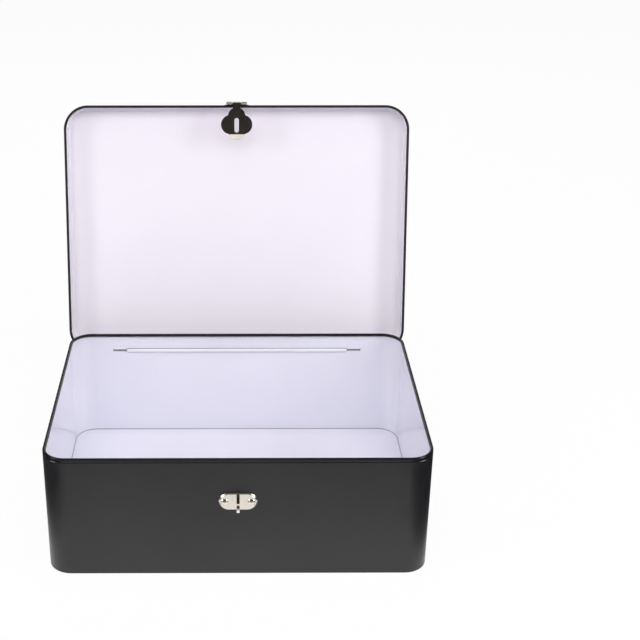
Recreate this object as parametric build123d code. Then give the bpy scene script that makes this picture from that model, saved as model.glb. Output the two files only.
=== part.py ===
from build123d import *
from math import atan2, cos, radians, sin, sqrt, tan
import os

# Lockable tinplate storage box with a wire-hinged lid, a hasp and staple, and a small padlock.
# Millimetres. +X is the right of the box, its front looks along -Y, and Z is up.
# The origin is the centre of the base, on the surface that the box stands on.
# Every part of the lid is drawn shut and then swung open to its rest pose.

# Body
box_width = 320.0
box_depth = 232.7
box_height = 111.7
corner_radius = 20.0
sheet = 0.35
rim_radius = 1.5
floor_height = 4.9
rim_neck_depth = 0.3
rim_neck_height = 0.8
hem_height = 3.0
seam_gap = 0.05
curl_sweep = 300.0
curl_flat = 30.0

# Lid
lid_gap = 0.75
lid_seat_gap = 0.3
lid_shoulder = 3.0
lid_curl_radius = 1.2
lid_curl_lift = 2.0
lid_curl_sweep = 270.0
open_angle = 103.4

# Wire hinge in the back wall
hinge_drop = 18.3
wire_radius = 1.0
wire_end_margin = 0.4
loop_clearance = 0.03
knuckle_clearance = 0.06
groove_radius = 1.85
bead_half_length = 106.9
loop_length = 12.5
slit_width = 0.6
knuckle_end_gap = 0.5
notch_side_gap = 0.8
notch_top_gap = 0.15
notch_drop = 2.4
knuckle_start = -290.0
knuckle_end = 50.0

# Hasp on the front of the lid
hasp_sheet = 0.6
hasp_pin_radius = 0.6
hasp_pin_clearance = 0.05
hasp_pin_offset = 5.2
hasp_pin_below_curl = 2.7
hasp_pin_head_radius = 1.0
hasp_pin_head = 0.5
leaf_knuckle_outer = 9.3
leaf_knuckle_inner = 4.7
leaf_ear_radius = 4.8
leaf_cutout_gap = 0.7
leaf_knuckle_start = -280.0
leaf_ear_drop = 9.75
leaf_dome_radius = 8.0
leaf_dome_drop = 11.15
leaf_jog_above_curl = 1.3
leaf_jog_rise = 2.3
strap_knuckle_half = 3.9
strap_knuckle_start = -60.0
strap_neck_half = 3.3
strap_neck_length = 8.0
strap_dome_radius = 8.0
strap_dome_drop = 11.9
strap_lobe_radius = 9.0
strap_lobe_spread = 5.7
strap_lobe_drop = 20.0
strap_toe_radius = 7.7
strap_toe_drop = 27.6
strap_notch_fillet = 0.8
strap_bend_drop = 29.3
strap_tab_angle = 35.0
strap_slot_length = 13.5
strap_slot_width = 4.2
strap_hang_angle = 20.0

# Staple on the front of the body
staple_drop = 39.7
plate_length = 31.4
plate_width = 16.5
plate_rise = 1.8
plate_sheet = 0.5
plate_bevel = 1.0
eye_thickness = 2.4
eye_root = 12.0
eye_reach = 8.0
eye_ring = 2.4
eye_hole_radius = 2.2
eye_slot_gap = 0.15
eye_flange_length = 13.4
eye_flange_width = 9.0
eye_flange_corner = 2.0
eye_tail_height = 6.0
eye_tail_head = 0.7
eye_tail_spread = 1.0

# Rivets of the hasp and the staple
staple_rivet_spacing = 22.0
hasp_rivet_spacing = 20.0
rivet_head_radius = 3.2
rivet_head = 1.8
rivet_shank_radius = 1.5
rivet_tail_radius = 2.4
staple_rivet_tail = 0.7
hasp_rivet_tail = 0.15
rivet_hole_gap = 0.05

# Padlock, kept inside the box while the box is open
padlock_x = 62.0
padlock_y = -62.0
case_width = 22.0
case_length = 20.0
case_thickness = 9.0
case_corner = 2.4
case_edge = 0.6
shackle_radius = 1.7
shackle_spacing = 15.4
shackle_rise = 17.0
shackle_clearance = 0.1
shackle_bend_steps = 12
long_leg = 14.0
short_leg = 4.5
bore_end_gap = 0.5
core_radius = 3.0
core_length = 11.5
core_clearance = 0.05
keyway_width = 0.9
keyway_height = 4.2
keyway_depth = 9.0

# How far a cutter runs past what it cuts
cut_past = 1.0

# Places worked out from the sizes above
half_x = box_width / 2 - corner_radius
half_y = box_depth / 2 - corner_radius
back_face = box_depth / 2
front_face = -box_depth / 2
lid_inner = corner_radius + lid_gap
lid_outer = lid_inner + sheet
hinge_height = box_height - hinge_drop
rim_neck_height_centre = box_height - 2 * rim_radius - rim_neck_height / 2
staple_height = box_height - staple_drop
lid_top_inner = box_height + lid_seat_gap
lid_top = lid_top_inner + sheet
lid_curl_height = hinge_height + lid_curl_lift
lid_front_face = front_face - lid_gap - sheet
loop_bore = wire_radius + loop_clearance
loop_start = bead_half_length + slit_width
loop_end = loop_start + loop_length
knuckle_bore = wire_radius + knuckle_clearance
notch_top = lid_curl_height + lid_curl_radius + notch_top_gap
leaf_ear_height = lid_top - leaf_ear_drop
leaf_dome_height = lid_top - leaf_dome_drop
leaf_jog_bottom = lid_curl_height + leaf_jog_above_curl
leaf_jog_top = leaf_jog_bottom + leaf_jog_rise
hasp_pin_y = front_face - hasp_pin_offset
hasp_pin_height = lid_curl_height - hasp_pin_below_curl
hasp_bore = hasp_pin_radius + hasp_pin_clearance
hasp_curl = hasp_bore + hasp_sheet
leaf_front = lid_front_face - hasp_sheet
plate_front = front_face - plate_rise
strap_slot_drop = hasp_pin_height - staple_height
hinge_axis = Axis((0, back_face, hinge_height), (1, 0, 0))


def bar(u0, z0, u1, z1):
    """Upright rectangle between two corners of a section."""
    return Pos((u0 + u1) / 2, (z0 + z1) / 2) * Rectangle(abs(u1 - u0), abs(z1 - z0))


def rolled(u, z, outer, start, end, thickness):
    """Section of a sheet rolled about a centre, from one angle to another."""
    outside = CenterArc((u, z), outer, start, end - start)
    inside = CenterArc((u, z), outer - thickness, start, end - start)
    sides = [Line(outside @ 0, inside @ 0), Line(outside @ 1, inside @ 1)]
    return make_face([outside, inside] + sides)


def curled_rim(u, z, outer, start, sweep_angle):
    """Section of a rim curled about a centre, in short flats like those of a forming roll."""
    flats = round(abs(sweep_angle) / curl_flat)
    turns = [radians(start + sweep_angle * step / flats) for step in range(flats + 1)]
    outside = [(u + outer * cos(turn), z + outer * sin(turn)) for turn in turns]
    inner = outer - sheet
    inside = [(u + inner * cos(turn), z + inner * sin(turn)) for turn in reversed(turns)]
    return make_face(Polyline(*outside, *inside, close=True))


def upright(section):
    """Stand a section up: its first axis becomes X and its second becomes Z."""
    return Plane.XZ * section


def across(section, x0, x1):
    """Run a section, drawn in Y and Z, along X from one place to another."""
    return extrude(Plane.YZ.offset(x0) * section, amount=x1 - x0)


def around(section):
    """Carry an upright section round the four sides and corners of the box."""
    face = upright(section)
    ring = None
    for turn in range(4):
        on_x_side = turn % 2 == 0
        reach, run = (half_x, half_y) if on_x_side else (half_y, half_x)
        side = Pos(reach, 0, 0) * extrude(face, amount=run, both=True)
        corner = Pos(reach, run, 0) * revolve(face, Axis.Z, 90)
        quarter = Rot(Z=90 * turn) * (side + corner)
        ring = quarter if ring is None else ring + quarter
    return ring


def rounded_plate(reach, z0, z1):
    """Flat plate that reaches a distance past the corner axes, between two heights."""
    outline = RectangleRounded(2 * (half_x + reach), 2 * (half_y + reach), reach)
    return extrude(Pos(0, 0, z0) * outline, amount=z1 - z0)


def both_ends(piece):
    """A piece and its mirror image on the other side of the box."""
    return piece + mirror(piece, Plane.YZ)


def y_cylinder(x, y0, y1, z, radius):
    """Cylinder along Y between two places."""
    return Pos(x, (y0 + y1) / 2, z) * Rot(X=90) * Cylinder(radius, abs(y1 - y0))


def rivet_holes(spacing, z, y0, y1):
    """Two round holes along Y for the rivets of one fitting."""
    radius = rivet_shank_radius + rivet_hole_gap
    return [y_cylinder(x, y0 - cut_past, y1 + cut_past, z, radius) for x in (-spacing / 2, spacing / 2)]


def body_wall():
    """Side wall with its rolled rim, its bottom hem and the hinge in its back."""
    outer = corner_radius
    hem_inner = outer - 3 * sheet - 2 * seam_gap
    section = bar(outer - sheet, 0, outer, box_height - rim_radius)
    section += curled_rim(outer - rim_radius, box_height - rim_radius, rim_radius, 0, curl_sweep)
    section += bar(hem_inner, 0, outer, sheet)
    section += bar(hem_inner, 0, hem_inner + sheet, hem_height)
    neck = make_face(
        Polyline(
            (outer, rim_neck_height_centre + rim_neck_height / 2),
            (outer - rim_neck_depth, rim_neck_height_centre),
            (outer, rim_neck_height_centre - rim_neck_height / 2),
            close=True,
        )
    )
    section += Pos(-sheet, 0) * neck
    wall = around(section - neck)
    return cut_staple_holes(form_hinge(wall))


def form_hinge(wall):
    """Press the bead, the slits and the two wire loops into the back wall."""
    axis = Pos(back_face, hinge_height)
    groove = axis * Circle(groove_radius)
    bead_skin = axis * Circle(groove_radius + sheet) - groove
    bead_skin &= bar(0, 0, back_face, box_height)
    wall -= across(groove, -bead_half_length, bead_half_length)
    wall += across(bead_skin, -bead_half_length, bead_half_length)
    slit_half = groove_radius + sheet
    slit = bar(back_face - 2 * sheet, hinge_height - slit_half, back_face + sheet, hinge_height + slit_half)
    wall -= both_ends(across(slit, bead_half_length, loop_start))
    wall -= both_ends(across(slit, loop_end, loop_end + slit_width))
    bore = axis * Circle(loop_bore)
    loop_skin = axis * Circle(loop_bore + sheet) - bore
    loop_skin &= bar(back_face - sheet, 0, back_face + box_height, box_height)
    wall -= both_ends(across(bore, loop_start, loop_end))
    return wall + both_ends(across(loop_skin, loop_start, loop_end))


def cut_staple_holes(wall):
    """Cut the rivet holes and the slot of the eye through the front wall."""
    wall -= rivet_holes(staple_rivet_spacing, staple_height, front_face, front_face)
    slot = Box(eye_thickness + 2 * eye_slot_gap, 2 * cut_past, eye_tail_height + 2 * eye_slot_gap)
    return wall - Pos(0, front_face, staple_height) * slot


def bottom_panel():
    """Floor plate whose turned-down flange stands in the hem of the wall."""
    reach = corner_radius - sheet - seam_gap
    flange = around(bar(reach - sheet, sheet + seam_gap, reach, floor_height))
    return rounded_plate(reach, floor_height - sheet, floor_height) + flange


def hinge_wire():
    """Straight steel wire through both loops of the wall and the knuckle of the lid."""
    length = 2 * (loop_end + wire_end_margin)
    return Pos(0, back_face, hinge_height) * Rot(Y=90) * Cylinder(wire_radius, length)


def lid_shell():
    """Lid with a rounded shoulder, an outward rolled rim and a knuckle round the wire."""
    shoulder = rolled(lid_outer - lid_shoulder, lid_top - lid_shoulder, lid_shoulder, 0, 90, sheet)
    skirt = bar(lid_inner, lid_curl_height, lid_outer, lid_top - lid_shoulder)
    curl_u = lid_inner + lid_curl_radius
    curl = curled_rim(curl_u, lid_curl_height, lid_curl_radius, 180, lid_curl_sweep)
    lid = around(shoulder + skirt + curl) + rounded_plate(lid_outer - lid_shoulder, lid_top_inner, lid_top)
    notch_half = loop_end + notch_side_gap
    notch_outer = back_face + lid_gap + 2 * lid_curl_radius + cut_past
    notch = bar(back_face, hinge_height - notch_drop, notch_outer, notch_top)
    lid -= across(notch, -notch_half, notch_half)
    knuckle_half = bead_half_length - knuckle_end_gap
    outer = knuckle_bore + sheet
    knuckle = rolled(back_face, hinge_height, outer, knuckle_start, knuckle_end, sheet)
    sheet_inner = back_face + lid_gap
    sheet_foot = hinge_height + sqrt(knuckle_bore**2 - lid_gap**2) + sheet / 4
    knuckle += bar(sheet_inner, sheet_foot, sheet_inner + sheet, notch_top)
    lid += across(knuckle, -knuckle_half, knuckle_half)
    return lid - rivet_holes(hasp_rivet_spacing, leaf_ear_height, lid_front_face, lid_front_face)


def hasp_leaf():
    """Fixed leaf: a domed plate with two ears, and two knuckles below the rim."""
    ear_x = hasp_rivet_spacing / 2
    ears = Pos(-ear_x, leaf_ear_height) * Circle(leaf_ear_radius)
    ears += Pos(ear_x, leaf_ear_height) * Circle(leaf_ear_radius)
    dome = Pos(0, leaf_dome_height) * Circle(leaf_dome_radius)
    middle = bar(-ear_x, leaf_jog_top, ear_x, leaf_ear_height + leaf_ear_radius / 2)
    outline = (ears + dome + middle) & bar(-box_width, leaf_jog_top, box_width, lid_top - lid_shoulder)
    plate = extrude(Pos(0, lid_front_face, 0) * upright(outline), amount=hasp_sheet)
    knuckle_face = hasp_pin_y + hasp_curl
    jog_turn = atan2(lid_front_face - knuckle_face, leaf_jog_rise)
    corner_shift = hasp_sheet * tan(jog_turn / 2)
    inner_line = [(lid_front_face, leaf_jog_top), (knuckle_face, leaf_jog_bottom), (knuckle_face, hasp_pin_height)]
    outer_line = [
        (knuckle_face - hasp_sheet, hasp_pin_height),
        (knuckle_face - hasp_sheet, leaf_jog_bottom + corner_shift),
        (leaf_front, leaf_jog_top + corner_shift),
        (leaf_front, leaf_jog_top + 2 * hasp_sheet),
        (lid_front_face, leaf_jog_top + 2 * hasp_sheet),
    ]
    tongue = make_face(Polyline(*inner_line, *outer_line, close=True))
    tongue += rolled(hasp_pin_y, hasp_pin_height, hasp_curl, leaf_knuckle_start, 0, hasp_sheet)
    leaf = plate + across(tongue, -leaf_knuckle_outer, leaf_knuckle_outer)
    clear = hasp_curl + leaf_cutout_gap
    gap = bar(hasp_pin_y - clear, hasp_pin_height - clear, hasp_pin_y + clear, hasp_pin_height + clear)
    leaf -= across(gap, -leaf_knuckle_inner, leaf_knuckle_inner)
    return leaf - rivet_holes(hasp_rivet_spacing, leaf_ear_height, leaf_front, lid_front_face)


def hasp_pin():
    """Headed pin that joins the leaf and the strap."""
    length = 2 * leaf_knuckle_outer
    pin = Rot(Y=90) * Cylinder(hasp_pin_radius, length + 2 * hasp_pin_head)
    head = Pos((length + hasp_pin_head) / 2, 0, 0) * Rot(Y=90) * Cylinder(hasp_pin_head_radius, hasp_pin_head)
    return Pos(0, hasp_pin_y, hasp_pin_height) * (pin + both_ends(head))


def strap_outline():
    """Flat outline of the strap in X and Z, its pin at the origin."""
    outline = bar(-strap_neck_half, -strap_neck_length, strap_neck_half, 0)
    outline += Pos(0, -strap_dome_drop) * Circle(strap_dome_radius)
    outline += Pos(-strap_lobe_spread, -strap_lobe_drop) * Circle(strap_lobe_radius)
    outline += Pos(strap_lobe_spread, -strap_lobe_drop) * Circle(strap_lobe_radius)
    outline += Pos(0, -strap_toe_drop) * Circle(strap_toe_radius)
    notches = outline.vertices().filter_by(lambda corner: corner.Y < 0)
    return fillet(notches, strap_notch_fillet)


def hasp_strap():
    """Swinging strap: a four-lobed plate with a slot, a rolled knuckle and a bent toe."""
    outline = strap_outline()
    flat = outline & bar(-box_width, -strap_bend_drop, box_width, 0)
    toe = outline & bar(-box_width, -box_height, box_width, -strap_bend_drop)
    flat -= Pos(0, -strap_slot_drop) * Rot(Z=90) * SlotOverall(strap_slot_length, strap_slot_width)
    face = -hasp_curl
    back = face + hasp_sheet
    bend = Axis((0, back, -strap_bend_drop), (1, 0, 0))
    strap = extrude(Pos(0, back, 0) * upright(flat), amount=hasp_sheet)
    strap += extrude(Pos(0, back, 0) * upright(toe), amount=hasp_sheet).rotate(bend, -strap_tab_angle)
    knuckle = rolled(0, 0, hasp_curl, strap_knuckle_start, 180, hasp_sheet)
    strap += across(knuckle, -strap_knuckle_half, strap_knuckle_half)
    neck = bar(face, -2 * hasp_curl, back, 0)
    return strap + across(neck, -strap_knuckle_half, strap_knuckle_half)


def dome_rivet(x, z, front, back, tail_length):
    """Rivet along Y with a domed head in front and a flat tail behind."""
    cap_radius = (rivet_head_radius**2 + rivet_head**2) / (2 * rivet_head)
    ball = Pos(0, cap_radius - rivet_head, 0) * Sphere(cap_radius)
    head = Pos(x, front, z) * split(ball, Plane.XZ)
    tail = y_cylinder(x, back, back + tail_length, z, rivet_tail_radius)
    return head + y_cylinder(x, front, back, z, rivet_shank_radius) + tail


def rivet_pair(spacing, z, front, back, tail_length):
    """The two rivets of one fitting."""
    return Compound([dome_rivet(x, z, front, back, tail_length) for x in (-spacing / 2, spacing / 2)])


def bevelled_slot(length, width, rise, bevel):
    """Oblong block that rises from the XZ plane towards the front, bevelled round its front."""
    block = extrude(upright(SlotOverall(length, width)), amount=rise)
    return chamfer(block.faces().sort_by(Axis.Y)[0].edges(), bevel)


def staple_plate():
    """Pressed oblong cap with rounded edges, a slot for the eye and two rivet holes."""
    inner_bevel = plate_bevel - (2 - sqrt(2)) * plate_sheet
    cap = bevelled_slot(plate_length, plate_width, plate_rise, plate_bevel)
    hollow_length = plate_length - 2 * plate_sheet
    hollow_width = plate_width - 2 * plate_sheet
    cap -= bevelled_slot(hollow_length, hollow_width, plate_rise - plate_sheet, inner_bevel)
    cap = Pos(0, front_face, staple_height) * cap
    slot = Box(eye_thickness + 2 * eye_slot_gap, 2 * plate_rise, eye_root + 2 * eye_slot_gap)
    cap -= Pos(0, plate_front, staple_height) * slot
    return cap - rivet_holes(staple_rivet_spacing, staple_height, plate_front, front_face)


def staple_eye():
    """Pierced eye that stands through the plate, with a flange and a spread tail."""
    hole_y = plate_front - eye_reach
    root = Line((front_face, -eye_root / 2), (front_face, eye_root / 2))
    nose = Pos(hole_y, 0) * Circle(eye_hole_radius + eye_ring)
    profile = make_hull([root, *nose.edges()]) - Pos(hole_y, 0) * Circle(eye_hole_radius)
    eye = across(profile, -eye_thickness / 2, eye_thickness / 2)
    flange_thickness = plate_rise - plate_sheet - seam_gap
    flange_outline = RectangleRounded(eye_flange_width, eye_flange_length, eye_flange_corner)
    flange = extrude(upright(flange_outline), amount=flange_thickness)
    eye += Pos(0, front_face, 0) * flange
    tail_depth = sheet + eye_tail_head
    tail = Box(eye_thickness, tail_depth, eye_tail_height)
    eye += Pos(0, front_face + tail_depth / 2, 0) * tail
    spread = Box(eye_thickness + 2 * eye_tail_spread, eye_tail_head, eye_tail_height + 2 * eye_tail_spread)
    eye += Pos(0, front_face + sheet + eye_tail_head / 2, 0) * spread
    return Pos(0, 0, staple_height) * eye


def padlock_place():
    """Middle of the case, which lies flat on the floor of the box."""
    return Pos(padlock_x, padlock_y, floor_height + case_thickness / 2)


def padlock_case():
    """Case with rounded sides, two bores for the shackle and one for the core."""
    outline = RectangleRounded(case_width, case_thickness, case_corner)
    case = extrude(upright(outline), amount=case_length / 2, both=True)
    ends = case.faces().sort_by(Axis.Y)
    case = chamfer(ends[0].edges() + ends[-1].edges(), case_edge)
    top = case_length / 2
    bore = shackle_radius + shackle_clearance
    for x, leg in ((-shackle_spacing / 2, long_leg), (shackle_spacing / 2, short_leg)):
        case -= y_cylinder(x, top - leg - bore_end_gap, top + cut_past, 0, bore)
    case -= y_cylinder(0, -top - cut_past, core_length - top, 0, core_radius + core_clearance)
    return padlock_place() * case


def padlock_shackle():
    """Bent rod with one long leg and one short leg."""
    bend = shackle_spacing / 2
    top = case_length / 2
    turn_y = top + shackle_rise - shackle_radius - bend
    turns = [radians(180 - 180 * step / shackle_bend_steps) for step in range(shackle_bend_steps + 1)]
    crown = [(bend * cos(turn), turn_y + bend * sin(turn)) for turn in turns]
    route = Polyline((-bend, top - long_leg), *crown, (bend, top - short_leg))
    start = Plane(origin=(-bend, top - long_leg, 0), z_dir=(0, 1, 0))
    rod = sweep(start * Circle(shackle_radius), path=route, transition=Transition.RIGHT)
    return padlock_place() * rod


def padlock_core():
    """Turning core with its keyway, flush with the foot of the case."""
    foot = -case_length / 2
    core = y_cylinder(0, foot, foot + core_length, 0, core_radius)
    keyway = Pos(0, foot + keyway_depth / 2, 0) * Box(keyway_width, keyway_depth, keyway_height)
    return padlock_place() * (core - keyway)


def opened(piece):
    """Swing a piece of the shut lid to its rest pose."""
    return piece.rotate(hinge_axis, -open_angle)


def opened_point(y, z):
    """Where a point of the shut lid lies in the rest pose, in Y and Z."""
    turn = radians(open_angle)
    dy, dz = y - back_face, z - hinge_height
    return back_face + dy * cos(turn) + dz * sin(turn), hinge_height - dy * sin(turn) + dz * cos(turn)


def hung_strap():
    """The strap as it hangs from the open lid."""
    y, z = opened_point(hasp_pin_y, hasp_pin_height)
    return Pos(0, y, z) * Rot(X=-strap_hang_angle) * hasp_strap()


def staple_rivets():
    """The two rivets that hold the plate and the eye on the wall."""
    return rivet_pair(staple_rivet_spacing, staple_height, plate_front, front_face + sheet, staple_rivet_tail)


def hasp_rivets():
    """The two rivets that hold the leaf on the lid, with tails thin enough to pass the rim."""
    skin_back = lid_front_face + sheet
    return rivet_pair(hasp_rivet_spacing, leaf_ear_height, leaf_front, skin_back, hasp_rivet_tail)


nodes = {
    "body_wall": body_wall(),
    "bottom_panel": bottom_panel(),
    "hinge_wire": hinge_wire(),
    "staple_plate": staple_plate(),
    "staple_eye": staple_eye(),
    "staple_rivets": staple_rivets(),
    "lid_shell": opened(lid_shell()),
    "hasp_leaf": opened(hasp_leaf()),
    "hasp_rivets": opened(hasp_rivets()),
    "hasp_pin": opened(hasp_pin()),
    "hasp_strap": hung_strap(),
    "padlock_case": padlock_case(),
    "padlock_shackle": padlock_shackle(),
    "padlock_core": padlock_core(),
}

os.makedirs("parts", exist_ok=True)
for name, shape in nodes.items():
    export_step(shape, f"parts/{name}.step")
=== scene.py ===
import math

import bpy
from mathutils import Euler, Matrix, Vector

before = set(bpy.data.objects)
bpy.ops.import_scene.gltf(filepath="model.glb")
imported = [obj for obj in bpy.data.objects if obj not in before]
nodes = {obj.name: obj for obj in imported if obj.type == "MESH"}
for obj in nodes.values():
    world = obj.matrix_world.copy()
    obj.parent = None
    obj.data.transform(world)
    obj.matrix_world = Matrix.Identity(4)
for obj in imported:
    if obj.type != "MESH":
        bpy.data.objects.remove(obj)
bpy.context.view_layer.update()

# Sizes of the CAD model that the finishes follow, in metres
SHEET = 0.00035
BODY_HALF = Vector((0.160, 0.11635))
BODY_HEIGHT = 0.1117
CORNER = 0.020
FLOOR_Z = 0.0049
RIM_ROLL = 0.0030
RIM_NECK = 0.0008
RIM_Z = BODY_HEIGHT - RIM_ROLL
NECK_Z = RIM_Z - RIM_NECK
BEAD_REACH = 0.0030

# The lid, whose heights are those of the shut lid
LID_GAP = 0.00075
LID_OUTER = CORNER + LID_GAP + SHEET
LID_TOP = 0.11235
LID_SKIRT_TOP = 0.1121
LID_SHOULDER = 0.109
LID_UNDERSIDE = 0.108
LID_CURL_MIDDLE = 0.0954
HINGE = Vector((0.0, 0.11635, 0.0934))
OPEN_ANGLE = math.radians(103.4)
SHUT = (
    Matrix.Translation(HINGE)
    @ Matrix.Rotation(OPEN_ANGLE, 4, "X")
    @ Matrix.Translation(-HINGE)
)

# The cosine past which a face looks a way, and two tolerances in metres
FACING = 0.5
HAIR = 0.00001
SLACK = 0.0001

# Material slots of the nodes that have more than one finish
OUTSIDE, INSIDE, RIM_SLOT = 0, 1, 2
ON_FLOOR, UNDER_FLOOR = 0, 1


# Shader helpers. A world has a node tree as a material has, so they serve both.

def new_material(name, **values):
    material = bpy.data.materials.new(name)
    material.use_nodes = True
    shader = material.node_tree.nodes["Principled BSDF"]
    for key, value in values.items():
        shader.inputs[key.replace("_", " ")].default_value = value
    return material, shader


def node(material, kind, **values):
    """Adds a shader node, and sets its properties and sockets by name."""
    made = material.node_tree.nodes.new("ShaderNode" + kind)
    for key, value in values.items():
        if hasattr(made, key):
            setattr(made, key, value)
        else:
            made.inputs[key.replace("_", " ")].default_value = value
    return made


def link(material, source, target):
    material.node_tree.links.new(source, target)


def math_node(material, operation, a, b=None):
    made = node(material, "Math", operation=operation)
    for socket, value in zip(made.inputs, (a, b)):
        if isinstance(value, (int, float)):
            socket.default_value = value
        elif value is not None:
            link(material, value, socket)
    return made.outputs[0]


def position(material):
    return node(material, "TexCoord").outputs["Object"]


def split_xyz(material, vector):
    made = node(material, "SeparateXYZ")
    link(material, vector, made.inputs[0])
    return made.outputs


def stretched(material, scale, vector=None):
    made = node(material, "Mapping")
    made.inputs["Scale"].default_value = scale
    link(material, vector or position(material), made.inputs["Vector"])
    return made.outputs[0]


def noise(material, scale, detail=2.0, vector=None, roughness=0.5):
    made = node(material, "TexNoise", Scale=scale, Detail=detail, Roughness=roughness)
    link(material, vector or position(material), made.inputs["Vector"])
    return made.outputs["Fac"]


def spread(material, value, low, high, start=0.3, end=0.7):
    """Maps start to end onto low to high, and holds the value beyond them."""
    made = node(
        material, "MapRange", From_Min=start, From_Max=end, To_Min=low, To_Max=high
    )
    link(material, value, made.inputs["Value"])
    return made.outputs[0]


# A Mix node has a set of sockets for each type of data, all with the same names
MIX_FACTOR = 0
MIX_FLOATS, MIX_FLOAT = (2, 3), 0
MIX_COLOURS, MIX_COLOUR = (6, 7), 2


def mix_colours(material, factor, first, second):
    made = node(material, "Mix", data_type="RGBA")
    sockets = [made.inputs[number] for number in (MIX_FACTOR, *MIX_COLOURS)]
    for socket, value in zip(sockets, (factor, first, second)):
        if isinstance(value, tuple):
            socket.default_value = (*value, 1.0)
        else:
            link(material, value, socket)
    return made.outputs[MIX_COLOUR]


def unless(material, ray, other, on_ray):
    """The number on_ray for rays of that kind, and the value of other for the rest."""
    made = node(material, "Mix", data_type="FLOAT")
    first, second = (made.inputs[number] for number in MIX_FLOATS)
    link(material, ray, made.inputs[MIX_FACTOR])
    link(material, other, first)
    second.default_value = on_ray
    return made.outputs[MIX_FLOAT]


def bump(material, shader, *layers):
    """Lays bumps over each other, each a height and its depth in metres."""
    normal = None
    for height, depth in layers:
        made = node(material, "Bump", Strength=1.0, Distance=depth)
        link(material, height, made.inputs["Height"])
        if normal is not None:
            link(material, normal, made.inputs["Normal"])
        normal = made.outputs[0]
    link(material, normal, shader.inputs["Normal"])


# Finishes. Scales are in cells per metre, depths and lengths in metres.

CLOUD_SCALE = 14.0
GLOSS_SCALE = 60.0
GLOSS_RANGE = 0.85, 1.15
PEEL_SCALE = 900.0
DENT_SCALE = 9.0

# Painted shade: a dark colour laid along the seam where the floor meets the wall, and
# its share at the darkest
PAINTED_SEAM_SHADE = (0.20, 0.20, 0.24)
PAINTED_SEAM_SHADE_SHARE = 0.8
# Where its shade starts and ends, inward from the wall and upward from the floor
FLOOR_SHADE_BAND = 0.0011, 0.0005
WALL_SHADE_BAND = 0.0002, 0.0008

PRINT_DEPTH = 0.0004
NIGHT_GROUND = (0.034, 0.031, 0.033)
NIGHT_DEEP = (0.020, 0.022, 0.12)
NIGHT_BLUE = (0.06, 0.17, 0.78)
NIGHT_PALE = (0.30, 0.52, 0.95)
SWIRL_SCALE = 14.0
DRIFT_SLOPE = 0.35
DRIFT_WANDER = 0.05
DRIFT_HALF_WIDTH = 0.012, 0.070
DRIFT_HALF_LENGTH = 0.065, 0.135
BLUE_FROM = 0.35, 0.62
PALE_FROM = 0.56, 0.72
PALE_SHARE = 0.8
DOT_COLOUR = (0.86, 0.88, 0.95)
DOT_SHARE = 0.85
DOT_EDGE = 1.5
# Cells per metre, radius in cells, and the share of the cells without a dot
DOT_LAYERS = (46.0, 0.050, 0.25), (80.0, 0.036, 0.45)

STAIN_SCALE = 160.0
STAIN_SHADE = 0.9
RIPPLE_SCALE = 260.0
RIPPLE_DEPTH = 0.00003
PLATING_SMOOTHER = 0.05
PLATING_ROUGHER = 0.07


def lacquer(name, colour, tint, rough, dent, peel, over=None):
    """Baked lacquer. A function given as over lays something on its colour."""
    material, shader = new_material(name, Specular_IOR_Level=0.5)
    cloud = spread(material, noise(material, CLOUD_SCALE), 0.0, 1.0)
    laid = mix_colours(material, cloud, colour, tint)
    laid = over(material, laid) if over else laid
    link(material, laid, shader.inputs["Base Color"])
    smoothest, roughest = (rough * share for share in GLOSS_RANGE)
    gloss = spread(material, noise(material, GLOSS_SCALE), smoothest, roughest)
    link(material, gloss, shader.inputs["Roughness"])
    skin = noise(material, PEEL_SCALE)
    dents = noise(material, DENT_SCALE, detail=1.0)
    bump(material, shader, (dents, dent), (skin, peel))
    return material


def corner_reach(material):
    """How far a point lies from the axes of the body's corners, seen from above."""
    place = split_xyz(material, position(material))
    squares = []
    for axis, half in (("X", BODY_HALF.x), ("Y", BODY_HALF.y)):
        away = math_node(material, "ABSOLUTE", place[axis])
        away = math_node(material, "SUBTRACT", away, half - CORNER)
        away = math_node(material, "MAXIMUM", away, 0.0)
        squares.append(math_node(material, "MULTIPLY", away, away))
    return math_node(material, "SQRT", math_node(material, "ADD", *squares))


def floor_painted_seam_shade(material, colour):
    """Painted shade on the floor, along the seam where it meets the wall."""
    start, end = (CORNER - inside for inside in FLOOR_SHADE_BAND)
    shade = spread(material, corner_reach(material), 0.0, PAINTED_SEAM_SHADE_SHARE, start, end)
    return mix_colours(material, shade, colour, PAINTED_SEAM_SHADE)


def wall_painted_seam_shade(material, colour):
    """Painted shade at the foot of the wall's inner face, along the seam with the floor.
    """
    height = split_xyz(material, position(material))["Z"]
    start, end = (FLOOR_Z + above for above in WALL_SHADE_BAND)
    shade = spread(material, height, PAINTED_SEAM_SHADE_SHARE, 0.0, start, end)
    return mix_colours(material, shade, colour, PAINTED_SEAM_SHADE)


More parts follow.
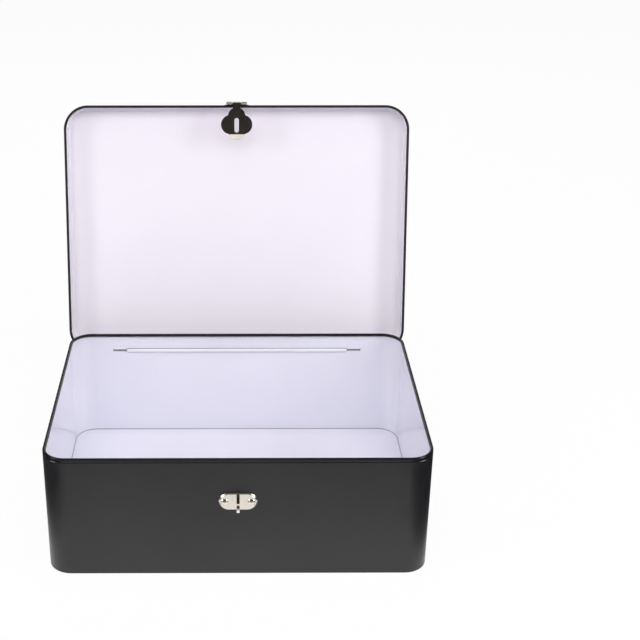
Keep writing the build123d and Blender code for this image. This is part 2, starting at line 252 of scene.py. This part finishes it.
def night_print(material, colour):
    """Generic night sky on the lid's top: a soft blue drift and small pale dots."""
    shut = node(material, "Mapping")
    shut.inputs["Location"].default_value = SHUT.to_translation()
    shut.inputs["Rotation"].default_value = SHUT.to_euler()
    link(material, position(material), shut.inputs["Vector"])
    place = split_xyz(material, shut.outputs[0])
    flat = stretched(material, (1.0, 1.0, 0.0), shut.outputs[0])
    swirl = noise(material, SWIRL_SCALE, detail=4.0, vector=flat, roughness=0.6)

    slope = math_node(material, "MULTIPLY", place["X"], DRIFT_SLOPE)
    across = math_node(material, "SUBTRACT", place["Y"], slope)
    wander = spread(material, swirl, -DRIFT_WANDER, DRIFT_WANDER)
    across = math_node(material, "ADD", across, wander)
    across = math_node(material, "ABSOLUTE", across)
    along = math_node(material, "ABSOLUTE", place["X"])
    drift = math_node(
        material,
        "MULTIPLY",
        spread(material, across, 1.0, 0.0, *DRIFT_HALF_WIDTH),
        spread(material, along, 1.0, 0.0, *DRIFT_HALF_LENGTH),
    )
    blue = spread(material, swirl, 0.0, 1.0, *BLUE_FROM)
    tint = mix_colours(material, blue, NIGHT_DEEP, NIGHT_BLUE)
    light = spread(material, swirl, 0.0, PALE_SHARE, *PALE_FROM)
    tint = mix_colours(material, light, tint, NIGHT_PALE)
    laid = mix_colours(material, drift, NIGHT_GROUND, tint)

    for scale, radius, bare in DOT_LAYERS:
        cells = node(material, "TexVoronoi", Scale=scale)
        link(material, flat, cells.inputs["Vector"])
        away = cells.outputs["Distance"]
        dot = spread(material, away, DOT_SHARE, 0.0, radius, DOT_EDGE * radius)
        lot = node(material, "SeparateColor")
        link(material, cells.outputs["Color"], lot.inputs[0])
        kept = math_node(material, "GREATER_THAN", lot.outputs[0], bare)
        dot = math_node(material, "MULTIPLY", dot, kept)
        laid = mix_colours(material, dot, laid, DOT_COLOUR)

    on_top = math_node(material, "GREATER_THAN", place["Z"], LID_TOP - PRINT_DEPTH)
    return mix_colours(material, on_top, colour, laid)


def plated(name, colour, rough, grain=(1.0, 1.0, 1.0), fineness=1400.0, depth=0.000006):
    """Plated metal, brushed along the axis in which its grain is stretched."""
    material, shader = new_material(name, Metallic=1.0)
    stain = spread(material, noise(material, STAIN_SCALE, detail=4.0), 0.0, 1.0)
    dull = tuple(STAIN_SHADE * channel for channel in colour)
    laid = mix_colours(material, stain, colour, dull)
    link(material, laid, shader.inputs["Base Color"])
    brushed = stretched(material, grain)
    lines = noise(material, fineness, detail=3.0, vector=brushed)
    gloss = spread(material, lines, rough - PLATING_SMOOTHER, rough + PLATING_ROUGHER)
    link(material, gloss, shader.inputs["Roughness"])
    ripples = noise(material, RIPPLE_SCALE)
    bump(material, shader, (ripples, RIPPLE_DEPTH), (lines, depth))
    return material


BLACK = {
    "colour": (0.0095, 0.0095, 0.011),
    "tint": (0.013, 0.013, 0.015),
    "rough": 0.36,
    "dent": 0.0004,
    "peel": 0.000003,
}
# Painted shade: a darker copy of the black lacquer for the rolled rim, standing in for
# the dark that the roll mirrors
RIM_PAINTED_DARKER = {
    "colour": (0.005, 0.005, 0.006),
    "tint": (0.007, 0.007, 0.008),
    "rough": 0.22,
    "dent": 0.0001,
    "peel": 0.000003,
}
PALE_LID = {
    "colour": (0.85, 0.805, 0.885),
    "tint": (0.83, 0.79, 0.87),
    "rough": 0.14,
    "dent": 0.00012,
    "peel": 0.000003,
}
PALE_BODY = {
    "colour": (0.845, 0.835, 0.92),
    "tint": (0.825, 0.815, 0.905),
    "rough": 0.03,
    "dent": 0.00004,
    "peel": 0.0000005,
}
black = lacquer("black_satin_lacquer", **BLACK)
printed = lacquer("black_printed_lacquer", **BLACK, over=night_print)
pale = lacquer("pale_inner_lacquer", **PALE_LID)
# The wall and floor lacquers carry painted shade along the seam where they meet
pale_wall = lacquer("pale_wall_lacquer", **PALE_BODY, over=wall_painted_seam_shade)
pale_floor = lacquer("pale_floor_lacquer", **PALE_BODY, over=floor_painted_seam_shade)
rim_painted_darker = lacquer("black_rim_lacquer_painted_darker", **RIM_PAINTED_DARKER)
nickel = plated("pale_nickel_plating", colour=(0.86, 0.79, 0.71), rough=0.16)
wire_steel = plated(
    "drawn_wire", colour=(0.50, 0.50, 0.51), rough=0.32, grain=(0.05, 1.0, 1.0)
)
lock_plate = plated(
    "brushed_lock_plating",
    colour=(0.93, 0.81, 0.73),
    rough=0.33,
    grain=(0.04, 1.0, 1.0),
    fineness=5000.0,
    depth=0.000002,
)
lock_steel = plated("polished_lock_steel", colour=(0.86, 0.83, 0.80), rough=0.12)


# Black outside and pale inside, on nodes that are one sheet

def paint(node_object, *materials):
    node_object.data.materials.clear()
    for material in materials:
        node_object.data.materials.append(material)


def past_corner_axes(x, y):
    """How far a point lies outside the rectangle of the body's corner axes, each way."""
    return Vector((
        max(abs(x) - BODY_HALF.x + CORNER, 0.0),
        max(abs(y) - BODY_HALF.y + CORNER, 0.0),
    ))


def reach(x, y):
    return past_corner_axes(x, y).length


def inward(x, y, normal):
    """Whether a face of a wall looks into the box."""
    away = past_corner_axes(x, y)
    out = Vector((math.copysign(away.x, x), math.copysign(away.y, y)))
    if out.length <= HAIR:
        return False
    return out.normalized().dot(Vector((normal.x, normal.y))) < -FACING


wall = nodes["body_wall"]
paint(wall, black, pale_wall, rim_painted_darker)
for face in wall.data.polygons:
    x, y, z = face.center
    # The rolled rim takes the darker copy of the black, which is painted shade
    if z > NECK_Z:
        face.material_index = RIM_SLOT
    near_wall = reach(x, y) > CORNER - BEAD_REACH
    if z < RIM_Z + HAIR and inward(x, y, face.normal) and near_wall:
        face.material_index = INSIDE

lid = nodes["lid_shell"]
paint(lid, printed, pale)
turn = SHUT.to_3x3()
for face in lid.data.polygons:
    x, y, z = SHUT @ face.center
    normal = turn @ face.normal
    under = normal.z < -FACING and z > LID_UNDERSIDE
    skirt = inward(x, y, normal) and LID_CURL_MIDDLE < z < LID_SKIRT_TOP
    skirt = skirt and reach(x, y) < LID_OUTER - 0.5 * SHEET
    shoulder = z > LID_SHOULDER and normal.z < 0 and reach(x, y) < LID_OUTER
    face.material_index = INSIDE if under or skirt or shoulder else OUTSIDE

panel = nodes["bottom_panel"]
paint(panel, pale_floor, black)
for face in panel.data.polygons:
    on_floor = face.normal.z > FACING and face.center.z > FLOOR_Z - SLACK
    face.material_index = ON_FLOOR if on_floor else UNDER_FLOOR

PLAIN_NODES = {
    "hinge_wire": wire_steel,
    "staple_plate": nickel,
    "staple_eye": nickel,
    "staple_rivets": nickel,
    "hasp_leaf": nickel,
    "hasp_rivets": nickel,
    "hasp_pin": nickel,
    "hasp_strap": nickel,
    "padlock_case": lock_plate,
    "padlock_shackle": lock_steel,
    "padlock_core": lock_steel,
}
for name, material in PLAIN_NODES.items():
    paint(nodes[name], material)


# Stage. Lengths are in metres, and a strength of 1 is white.

FLOOR_SIDE = 8.0
FLOOR_DROP = 0.0005
PAPER_WHITE = 0.95
PAPER_GLOW = 0.96
DARK_GREY = 0.02
MATT = 0.9
WHITE = (1.0, 1.0, 1.0, 1.0)

# How bright reflections show the floor near the box and farther out, and between
# which distances from its middle that falls, along Y, along X, and on the right
DEPTH_STRENGTH = 1.15, 0.35
DEPTH_REACH = 0.15, 0.45
WIDTH_STRENGTH = 1.0, 0.08
WIDTH_REACH = 0.18, 0.25
RIGHT_STRENGTH = 1.0, 0.3
RIGHT_REACH = 0.165, 0.20

# How bright reflections show the sky, by the height of a direction, and its share
# of that as light
HORIZON_STRENGTH = 0.70, 0.10
HORIZON_BAND = 0.0, 0.25
ZENITH_STRENGTH = 0.0, 0.9
ZENITH_BAND = 0.93, 0.985
SKY_SHARE_AS_LIGHT = 0.3


def card(name, size, place, turned):
    bpy.ops.mesh.primitive_plane_add(size=1.0, location=place, rotation=turned)
    made = bpy.context.object
    made.name = name
    made.scale = (size[0], size[1], 1.0)
    return made


def paper(name):
    """White to the camera but for a faint shadow. Reflections show it bright close to
    the box and darker away from it, most of all at the sides."""
    grey = (PAPER_WHITE, PAPER_WHITE, PAPER_WHITE, 1.0)
    material, shader = new_material(name, Base_Color=grey, Roughness=MATT)
    path = node(material, "LightPath").outputs
    place = split_xyz(material, node(material, "NewGeometry").outputs["Position"])
    away = math_node(material, "ABSOLUTE", place["Y"])
    beside = math_node(material, "ABSOLUTE", place["X"])
    mirrored = spread(material, away, *DEPTH_STRENGTH, *DEPTH_REACH)
    for distance, strength, reached in (
        (beside, WIDTH_STRENGTH, WIDTH_REACH),
        (place["X"], RIGHT_STRENGTH, RIGHT_REACH),
    ):
        dimmed = spread(material, distance, *strength, *reached)
        mirrored = math_node(material, "MULTIPLY", mirrored, dimmed)
    glow = node(material, "Emission", Color=WHITE)
    strength = unless(material, path["Is Camera Ray"], mirrored, 1.0)
    link(material, strength, glow.inputs["Strength"])
    share = unless(material, path["Is Camera Ray"], path["Is Glossy Ray"], PAPER_GLOW)
    mixed = node(material, "MixShader")
    link(material, share, mixed.inputs[0])
    link(material, shader.outputs[0], mixed.inputs[1])
    link(material, glow.outputs[0], mixed.inputs[2])
    output = material.node_tree.nodes["Material Output"]
    link(material, mixed.outputs[0], output.inputs["Surface"])
    return material


floor = card(
    "floor",
    size=(FLOOR_SIDE, FLOOR_SIDE),
    place=(0.0, 0.0, -FLOOR_DROP),
    turned=(0.0, 0.0, 0.0),
)
floor.data.materials.append(paper("floor_paper"))

# A dark card behind the camera, which the polished metal mirrors
dark_material, _ = new_material(
    "dark_card", Base_Color=(DARK_GREY, DARK_GREY, DARK_GREY, 1.0), Roughness=MATT
)
dark = card(
    "dark_card",
    size=(1.3, 0.9),
    place=(0.0, -1.7, 0.95),
    turned=(math.radians(80), 0.0, 0.0),
)
dark.data.materials.append(dark_material)

world = bpy.data.worlds.new("studio")
bpy.context.scene.world = world
world.use_nodes = True
sky = world.node_tree.nodes["Background"]
sky.inputs["Color"].default_value = WHITE
path = node(world, "LightPath").outputs
height = split_xyz(world, node(world, "TexCoord").outputs["Generated"])["Z"]
seen = math_node(
    world,
    "ADD",
    spread(world, height, *HORIZON_STRENGTH, *HORIZON_BAND),
    spread(world, height, *ZENITH_STRENGTH, *ZENITH_BAND),
)
lit = spread(world, path["Is Glossy Ray"], SKY_SHARE_AS_LIGHT, 1.0, 0.0, 1.0)
seen = math_node(world, "MULTIPLY", seen, lit)
link(world, unless(world, path["Is Camera Ray"], seen, 1.0), sky.inputs["Strength"])


# Lamps

def lamp(name, place, target, size, watts, mirrored):
    data = bpy.data.lights.new(name, "AREA")
    data.shape = "RECTANGLE"
    data.size, data.size_y = size
    data.energy = watts
    made = bpy.data.objects.new(name, data)
    bpy.context.scene.collection.objects.link(made)
    made.location = place
    aim = Vector(target) - Vector(place)
    made.rotation_euler = aim.to_track_quat("-Z", "Y").to_euler()
    made.visible_glossy = mirrored


BOX_MIDDLE = (0.0, 0.0, 0.15)
lamp(
    "top_light",
    place=(0.0, -0.15, 1.7),
    target=(0.0, 0.05, 0.1),
    size=(1.6, 1.2),
    watts=8.8,
    mirrored=False,
)
lamp(
    "front_light",
    place=(0.0, -1.6, 1.3),
    target=(0.0, 0.1, 0.2),
    size=(2.0, 1.2),
    watts=28.5,
    mirrored=False,
)
for name, x, watts in (("left_light", -1.5, 10.0), ("right_light", 1.5, 13.9)):
    lamp(
        name,
        place=(x, -0.7, 0.9),
        target=BOX_MIDDLE,
        size=(0.5, 1.0),
        watts=watts,
        mirrored=True,
    )
lamp(
    "back_light",
    place=(0.0, 1.6, 1.1),
    target=BOX_MIDDLE,
    size=(1.6, 0.8),
    watts=9.0,
    mirrored=False,
)


# Camera, fitted to the corners of the body and the lid in the photo

CAMERA_PLACE = (-0.004963, -0.982343, 0.642775)
# In degrees
LOOKS_DOWN = 25.198
TURNED_RIGHT = 0.218
# In pixels of the photo
PHOTO_SIDE = 640
FOCAL_LENGTH = 1256.47
AXIS_X, AXIS_Y = 236.01, 319.96
# In millimetres
SENSOR = 36.0

lens = bpy.data.cameras.new("camera")
camera = bpy.data.objects.new("camera", lens)
bpy.context.scene.collection.objects.link(camera)
bpy.context.scene.camera = camera
lens.sensor_width = SENSOR
lens.lens = FOCAL_LENGTH / PHOTO_SIDE * SENSOR
lens.shift_x = (PHOTO_SIDE / 2 - AXIS_X) / PHOTO_SIDE
lens.shift_y = (AXIS_Y - PHOTO_SIDE / 2) / PHOTO_SIDE
camera.location = CAMERA_PLACE
tilt, turn = math.radians(90.0 - LOOKS_DOWN), math.radians(-TURNED_RIGHT)
camera.rotation_euler = Euler((tilt, 0.0, turn), "XYZ")

bpy.context.scene.view_settings.view_transform = "Standard"
